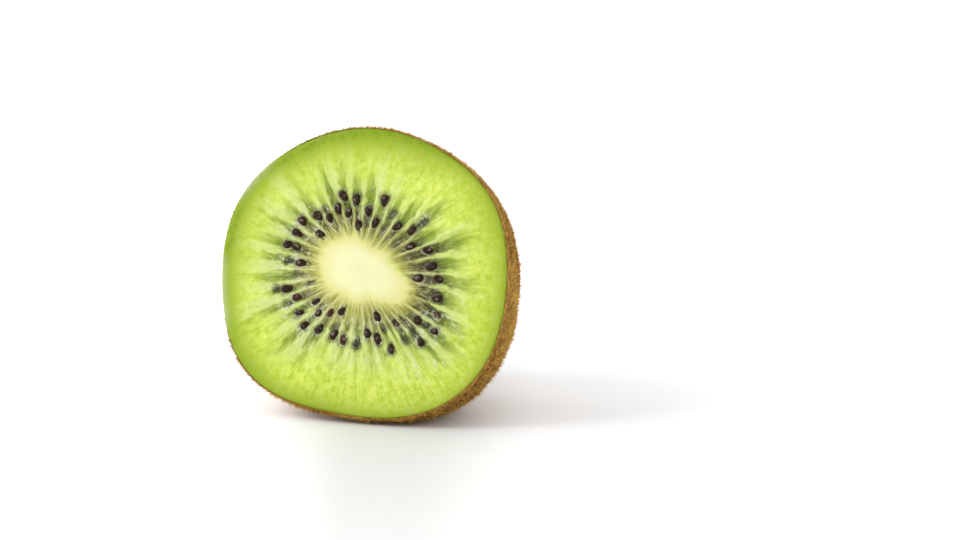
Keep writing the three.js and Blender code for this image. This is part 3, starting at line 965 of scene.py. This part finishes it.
def make_skin(sizes, colours):
    """A thin shell round the back of the flesh, with a rounded lip at the cut and a hard disc at its end."""
    columns = SKIN_COLUMNS
    thickness = sizes.skin_thickness / MM
    turn = np.linspace(0, 2 * math.pi, columns, endpoint=False)
    angle = turn + wave(CHAMBER_SHIFT, turn)
    outer_shares = np.linspace(0.012, 1, OUTER_RINGS, endpoint=False)
    inner_shares = np.linspace(0.02, 1, INNER_RINGS, endpoint=False)
    rings = []
    marks = {"hairiness": [], "hair_length": [], "nub": [], "golden": []}

    def add_ring(points, **values):
        rings.append(points)
        for name in marks:
            marks[name].append(np.broadcast_to(values.get(name, 0.0), (columns,)))

    for share in inner_shares[::-1]:
        add_ring(surface(SKIN + share, turn, thickness), hair_length=1.0)
    bare = smoothstep(np.cos(angle - math.radians(BARE_SIDE)), 0.65, 0.92)
    ragged = 0.06 * (ring_noise(turn, 30, 81) - 0.5) + 0.08 * (ring_noise(turn, 5, 82) - 0.5) - 0.45 * bare
    golden = (0.45 + 0.55 * smoothstep(ring_noise(turn, 60, 83), 0.3, 0.65)) * (1 - bare)
    golden = golden * (1 - 0.6 * facing(angle, 185, 0, 0.6))
    for inward, height, hairy in LIP_PROFILE:
        radius = side_radius(angle) - inward * thickness
        add_ring(
            np.stack([radius * np.cos(angle), radius * np.sin(angle), height + ragged], axis=-1),
            hairiness=hairy * (1 - 0.6 * bare), hair_length=0.85 - 0.45 * bare, golden=golden,
        )
    for share in outer_shares:
        points = surface(SKIN + share, turn)
        radius = np.hypot(points[:, 0], points[:, 1])
        dents = point_noise(points, 6, 91) - 0.5 + 0.5 * (point_noise(points, 2.2, 92) - 0.5)
        outward = points / np.linalg.norm(points + [0, 0, 6], axis=-1, keepdims=True)
        points = points + outward * (SKIN_DENTS * dents * smoothstep(share, 0.0, 0.08))[:, None]
        disc = 1 - smoothstep(radius, 0.8 * NUB_RADIUS, 1.15 * NUB_RADIUS)
        cracks = 0.4 * np.cos(9 * turn + 2 * np.sin(2 * turn)) * np.clip(radius, 0, 1)
        points[:, 2] -= NUB_RELIEF * (point_noise(points, 0.7, 93) - 0.5 + cracks) * disc
        back = smoothstep(share, 0.12, 0.5)
        near_lip = 0.6 * bare * (1 - smoothstep(share, 0.02, 0.12))
        add_ring(
            points, nub=disc,
            hairiness=(0.1 + 1.8 * point_noise(points, 0.9, 94)) * (1 - disc),
            hair_length=(0.85 + 0.15 * smoothstep(share, 0.0, 0.05) - near_lip) * (1 - 0.4 * back),
            golden=golden * (1 - smoothstep(share, 0.012, 0.026)) + BACK_GOLD * back * (1 - disc ** 3),
        )
    faces = []
    for k in range(len(rings) - 1):
        faces += ring_faces(k * columns, (k + 1) * columns, columns)
    count = len(rings) * columns
    last = count - columns
    faces += [((i + 1) % columns, i, count) for i in range(columns)]
    faces += [(last + i, count + 1, last + (i + 1) % columns) for i in range(columns)]
    poles = np.stack([surface(END, 0.0, thickness), surface(END, 0.0)])
    solid = standing(np.concatenate(rings + [poles]))
    height = solid[:, 2].copy()
    lowest = np.zeros(len(solid))
    lowest[:len(inner_shares) * columns] = lowest[count] = thickness * MM
    solid[:, 2] = np.maximum(height, lowest)
    piece = add_mesh("skin", solid, faces)
    at_poles = {"hairiness": (0, 0), "hair_length": (1, 1), "nub": (0, 1), "golden": (0, 0)}
    values = {name: np.concatenate(marks[name] + [at_poles[name]]) for name in marks}
    values["hairiness"] *= height > 0.2 * MM
    values["hair_length"] *= np.clip(height / (0.8 * MM), 0.3, 1)
    for name, each in values.items():
        add_mark(piece, name, each)
    piece.data.materials.append(skin_material(colours))
    finish_piece(piece)


def single_seed(sizes):
    """A flat drop of a seed's mean size along +Y, with its point at the back."""
    sides, rows = 18, 11
    points, faces = [(0, -0.5 * sizes.seed_length, 0)], []
    for row in range(1, rows):
        along = -math.cos(math.pi * row / rows)
        girth = math.sin(math.pi * row / rows) ** 0.85 * (0.5 + 0.11 * along)
        for side in range(sides):
            around = 2 * math.pi * side / sides
            points.append((
                girth * math.cos(around) * sizes.seed_width,
                0.5 * along * sizes.seed_length,
                girth * math.sin(around) * sizes.seed_thickness,
            ))
    points.append((0, 0.5 * sizes.seed_length, 0))
    for side in range(sides):
        after = (side + 1) % sides
        faces.append((0, 1 + side, 1 + after))
        for row in range(rows - 2):
            first, second = 1 + row * sides, 1 + (row + 1) * sides
            faces.append((first + side, second + side, second + after, first + after))
        final = 1 + (rows - 2) * sides
        faces.append((final + side, len(points) - 1, final + after))
    seed = add_mesh("single_seed", points, faces)
    add_mark(seed, "crown", [smoothstep(point[2] / sizes.seed_thickness, 0.38, 0.5) for point in points])
    return seed


def make_seeds(sizes, colours):
    """Seeds in their chambers, each more or less sunk in the jelly."""
    places = seed_places(SEED_DRAW)
    station = np.array([place[0] for place in places])
    turn = np.array([place[1] for place in places])
    points = surface(station, turn)
    relief = face_marks(station, turn, sizes)[1]
    draw = draws(SEED_DRAW + 1)
    turned, red = [], []
    for point, place, bed in zip(points, places, np.minimum(relief, SEED_BED)):
        outward = math.atan2(point[1] - CORE_CENTRE[1], point[0] - CORE_CENTRE[0]) + place[2]
        tip, roll = SEED_TIP * (next(draw) - 0.5), SEED_ROLL * (next(draw) - 0.5)
        turned.append(seed_rotation(outward - math.pi / 2, tip, roll))
        red.append(1.0 if next(draw) > RED_DRAW else 0.15 * next(draw))
        rise = SEED_LOWEST + (SEED_HIGHEST - SEED_LOWEST) * next(draw)
        point[2] = bed + sizes.seed_rise / MM * rise
    carrier = add_mesh("seed_points", standing(points), [])
    rotation = carrier.data.attributes.new("turned", "FLOAT_VECTOR", "POINT")
    rotation.data.foreach_set("vector", np.array(turned, np.float32).ravel())
    add_mark(carrier, "size", [place[3] for place in places])
    add_mark(carrier, "red", red)
    seed = single_seed(sizes)
    piece = grow(carrier, "seeds", seed_tree(), {"Seed": seed, "Material": seed_material(colours)})
    bpy.data.objects.remove(carrier)
    bpy.data.objects.remove(seed)
    roughen(piece, SEED_GRAIN_DEPTH, SEED_GRAIN)
    finish_piece(piece)


def roughen(piece, depth, grain):
    """Pushes the points of a piece in and out a little, by smooth noise with a grain in millimetres."""
    count = len(piece.data.vertices)
    points, normals = np.empty(3 * count, np.float32), np.empty(3 * count, np.float32)
    piece.data.vertices.foreach_get("co", points)
    piece.data.vertices.foreach_get("normal", normals)
    points, normals = points.reshape(-1, 3), normals.reshape(-1, 3)
    push = depth * MM * (point_noise(points, grain * MM, 97) - 0.5)
    piece.data.vertices.foreach_set("co", (points + normals * push[:, None]).astype(np.float32).ravel())
    piece.data.update()


def seed_rotation(spin, tip, roll):
    """Tips a seed a little, turns it to its chamber in the plane of the face, and leans with the face."""
    own = Euler((tip, roll, 0)).to_matrix()
    upright = Euler((math.pi / 2 - math.radians(LEAN), 0, 0)).to_matrix()
    return tuple((upright @ Euler((0, 0, spin)).to_matrix() @ own).to_euler())


def single_hair(width, bends):
    """A tapering three-sided hair of unit length along +Z, bent over a little towards its tip."""
    points, faces = [], [(2, 1, 0)]
    for step in range(bends):
        height = step / bends
        for side in range(3):
            around = 2 * math.pi * side / 3
            girth = width / 2 * (1 - 0.5 * height)
            hang = HAIR_BEND * height ** 2
            points.append((girth * math.cos(around), girth * math.sin(around) + hang, height))
    points.append((0, HAIR_BEND, 1))
    for step in range(bends - 1):
        faces += ring_faces(3 * step + 3, 3 * step, 3)
    last = 3 * (bends - 1)
    faces += [(last + side, last + (side + 1) % 3, len(points) - 1) for side in range(3)]
    hair = add_mesh("single_hair", points, faces, smooth=False)
    add_mark(hair, "tip", [point[2] for point in points])
    return hair


def lay_on_floor(piece):
    """Bends up what would reach into the floor."""
    points = np.empty(3 * len(piece.data.vertices), np.float32)
    piece.data.vertices.foreach_get("co", points)
    points[2::3] = np.maximum(points[2::3], LOWEST_HAIR * MM)
    piece.data.vertices.foreach_set("co", points)
    piece.data.update()


def make_hairs(sizes, colours):
    """Long hairs, hairs that lie flat and short fuzz over the skin."""
    skin = bpy.data.objects["skin"]
    material = hair_material(colours)
    # Each kind: its name, bends, length, number, least and greatest lean in radians, and draw.
    kinds = (
        ("long_hairs", 2, sizes.hair_length, sizes.hairs_per_cm2, 0.1, 0.8, 3),
        ("flat_hairs", 2, sizes.flat_length, sizes.flat_per_cm2, 1.26, 1.48, 23),
        ("short_fuzz", 1, sizes.fuzz_length, sizes.fuzz_per_cm2, 0.3, 1.3, 43),
    )
    tree = hair_tree()
    for name, bends, long, per_cm2, least, most, draw in kinds:
        hair = single_hair(sizes.hair_width, bends)
        piece = grow(skin, name, tree, {
            "Hair": hair, "Density": per_cm2 * 1e4, "Length": long, "Least lean": least, "Most lean": most,
            "Draw": draw, "Material": material,
        })
        bpy.data.objects.remove(hair)
        lay_on_floor(piece)
        finish_piece(piece)


def face_middle():
    return Vector(standing(np.array([0.0, 0.0, 0.0])))


def add_area_light(name, place, target, power, size):
    data = bpy.data.lights.new(name, "AREA")
    data.energy, data.size = power, size
    light = bpy.data.objects.new(name, data)
    light.location = place
    light.rotation_euler = (target - place).to_track_quat("-Z", "Y").to_euler()
    bpy.context.scene.collection.objects.link(light)


def make_camera(view):
    """A long lens that sees the middle of the cut face at its pixel of the picture."""
    azimuth, elevation = view.azimuth, view.elevation
    back = Vector((math.sin(azimuth) * math.cos(elevation), -math.cos(azimuth) * math.cos(elevation),
                   math.sin(elevation)))
    right = Vector((math.cos(azimuth), math.sin(azimuth), 0))
    up = back.cross(right)
    focal = PIXELS_PER_MM * view.distance / MM
    across = (FACE_PIXEL[0] - PICTURE[0] / 2) / focal
    down = (FACE_PIXEL[1] - PICTURE[1] / 2) / focal
    towards = (-back + across * right - down * up).normalized()
    data = bpy.data.cameras.new("camera")
    data.sensor_width = 36
    data.lens = focal / PICTURE[0] * data.sensor_width
    data.clip_start, data.clip_end = 0.01, 20
    camera = bpy.data.objects.new("camera", data)
    camera.location = face_middle() - towards * view.distance
    camera.rotation_euler = (-back).to_track_quat("-Z", "Y").to_euler()
    bpy.context.scene.collection.objects.link(camera)
    bpy.context.scene.camera = camera


def make_stage(view):
    """A white floor that glows more away from the fruit and to its sides, painted light that lightens its
    shadows, a white sky, a key light from the upper left, and one light for each side edge.
    """
    scene = bpy.context.scene
    scene.view_settings.view_transform = "Standard"
    corners = [(-4, -4, 0), (4, -4, 0), (4, 4, 0), (-4, 4, 0)]
    floor = add_mesh("floor", corners, [(0, 1, 2, 3)], smooth=False)
    floor.location.z = -FLOOR_DEPTH
    material, tree, shader, place = new_material("floor")
    # The floor glows softly: more with the distance, and more to the left, to the right and behind.
    distance = add_node(tree, "ShaderNodeVectorMath", {0: place}, operation="LENGTH").outputs["Value"]
    glow = scaled(tree, distance, 0.03, 0.4, 0.0, 0.6)
    across, deep = math.cos(view.azimuth), math.sin(view.azimuth)
    left, right, behind = (-across, -deep, 0), (across, deep, 0), (-deep, across, 0)
    glows = ((left, 0.003, 0.027, 0.45), (right, 0.004, 0.03, 0.25), (behind, 0.03, 0.1, 0.35))
    for way, near, far, strength in glows:
        reach = add_node(tree, "ShaderNodeVectorMath", {0: place, 1: way}, operation="DOT_PRODUCT")
        more = scaled(tree, reach.outputs["Value"], near, far, 0.0, strength, "SMOOTHSTEP")
        glow = math_node(tree, "ADD", glow, more)
    set_inputs(tree, shader, Base_Color=(*view.floor, 1), Roughness=0.6, Emission_Color=(1, 1, 1, 1),
               Emission_Strength=glow)
    floor.data.materials.append(material)

    world = bpy.data.worlds.new("studio")
    scene.world = world
    world.use_nodes = True
    tree = world.node_tree
    tree.nodes.clear()
    seen = add_node(tree, "ShaderNodeLightPath").outputs["Is Camera Ray"]
    strength = scaled(tree, seen, 0.0, 1.0, view.sky, 1.0)
    sky = add_node(tree, "ShaderNodeBackground", {"Color": (1, 1, 1, 1), "Strength": strength})
    add_node(tree, "ShaderNodeOutputWorld", {"Surface": sky.outputs["Background"]})

    middle = face_middle()
    for name, offset, power, size in (
        ("key", (-0.5, -0.35, 0.5), view.key, 0.35), ("edge", (-0.6, 0.15, 0.25), view.edge, 0.3),
        ("side", (0.6, 0.05, 0.2), view.side, 0.3),
    ):
        add_area_light(name, middle + Vector(offset), middle, power, size)
    make_camera(view)


# ---- Operators, panel and registration. ----


class KIWI_OT_flesh(Operator):
    """Make the flesh with its core, rays and seed chambers"""
    bl_idname = "kiwi.make_flesh"
    bl_label = "Flesh"

    def execute(self, context):
        make_flesh(context.scene.kiwi_sizes, context.scene.kiwi_colours)
        return {"FINISHED"}


class KIWI_OT_skin(Operator):
    """Make the thin skin round the back"""
    bl_idname = "kiwi.make_skin"
    bl_label = "Skin"

    def execute(self, context):
        make_skin(context.scene.kiwi_sizes, context.scene.kiwi_colours)
        return {"FINISHED"}


class KIWI_OT_seeds(Operator):
    """Make the seeds"""
    bl_idname = "kiwi.make_seeds"
    bl_label = "Seeds"

    def execute(self, context):
        make_seeds(context.scene.kiwi_sizes, context.scene.kiwi_colours)
        return {"FINISHED"}


class KIWI_OT_hairs(Operator):
    """Make the hairs on the skin"""
    bl_idname = "kiwi.make_hairs"
    bl_label = "Hairs"

    def execute(self, context):
        make_hairs(context.scene.kiwi_sizes, context.scene.kiwi_colours)
        return {"FINISHED"}


class KIWI_OT_stage(Operator):
    """Make the floor, the lights and the camera"""
    bl_idname = "kiwi.make_stage"
    bl_label = "Stage"

    def execute(self, context):
        make_stage(context.scene.kiwi_view)
        return {"FINISHED"}


OPERATORS = (KIWI_OT_flesh, KIWI_OT_skin, KIWI_OT_seeds, KIWI_OT_hairs, KIWI_OT_stage)


class KIWI_PT_panel(Panel):
    """Sizes, colours and the steps that build the fruit"""
    bl_idname = "KIWI_PT_panel"
    bl_label = "Kiwi fruit half"
    bl_space_type = "VIEW_3D"
    bl_region_type = "UI"
    bl_category = "Kiwi"

    def draw(self, context):
        for operator in OPERATORS:
            self.layout.operator(operator.bl_idname)
        for group in (context.scene.kiwi_sizes, context.scene.kiwi_colours, context.scene.kiwi_view):
            box = self.layout.box()
            for name in group.__annotations__:
                box.prop(group, name)


CLASSES = (KiwiSizes, KiwiColours, KiwiView, *OPERATORS, KIWI_PT_panel)


def register():
    for item in CLASSES:
        bpy.utils.register_class(item)
    bpy.types.Scene.kiwi_sizes = PointerProperty(type=KiwiSizes)
    bpy.types.Scene.kiwi_colours = PointerProperty(type=KiwiColours)
    bpy.types.Scene.kiwi_view = PointerProperty(type=KiwiView)


def unregister():
    for name in ("kiwi_sizes", "kiwi_colours", "kiwi_view"):
        delattr(bpy.types.Scene, name)
    for item in reversed(CLASSES):
        bpy.utils.unregister_class(item)


def main():
    register()
    bpy.ops.kiwi.make_flesh()
    bpy.ops.kiwi.make_skin()
    bpy.ops.kiwi.make_seeds()
    bpy.ops.kiwi.make_hairs()
    bpy.ops.kiwi.make_stage()


if __name__ == "__main__":
    main()
